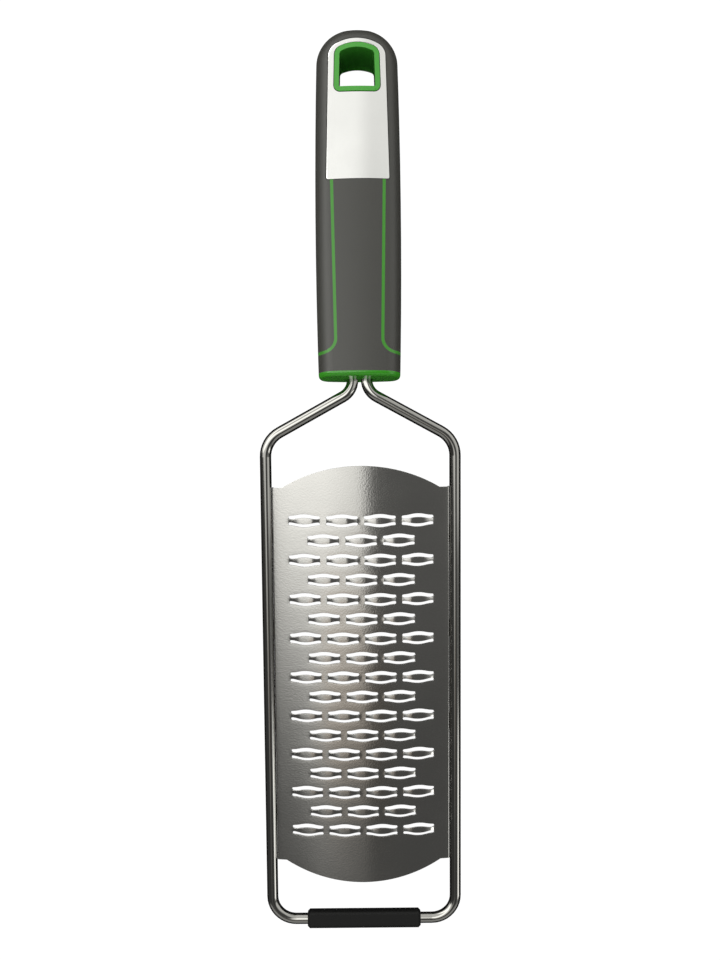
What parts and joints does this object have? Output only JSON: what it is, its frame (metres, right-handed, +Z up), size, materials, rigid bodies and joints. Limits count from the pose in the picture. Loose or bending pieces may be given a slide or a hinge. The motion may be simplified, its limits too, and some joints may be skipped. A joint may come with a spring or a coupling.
{
  "type": "rasp zester",
  "caption": "Hand grater with a long crowned steel blade of raised two-way cutters in a bent wire frame, a rubber foot bar and a soft grip handle with a hang hole.",
  "frame": {"origin": "centre of the flat underside of the foot sleeve, on the table", "axes": "+X across the tool, +Y from the foot towards the handle's tail, +Z up from the table, the tool lying on its foot and tail with the cutters up"},
  "size_m": [0.07, 0.3211, 0.0356],
  "materials": {
    "polished_wire": "polished stainless wire",
    "satin_blade": "satin stainless sheet",
    "weld_steel": "bare weld",
    "foot_rubber": "matte black",
    "green_plastic": "satin moulded",
    "soft_grip": "matte soft touch",
    "plate_steel": "satin stainless plate",
    "liner_plastic": "satin moulded",
    "cap_plastic": "gloss moulded"
  },
  "bodies": {
    "root": {"wire_frame": "polished_wire", "grater_blade": "satin_blade", "edge_welds": "weld_steel", "foot_sleeve": "foot_rubber", "handle_core": "green_plastic", "soft_grip": "soft_grip", "steel_plate": "plate_steel", "hang_hole_liner": "liner_plastic", "end_cap": "cap_plastic"}
  },
  "joints": []
}
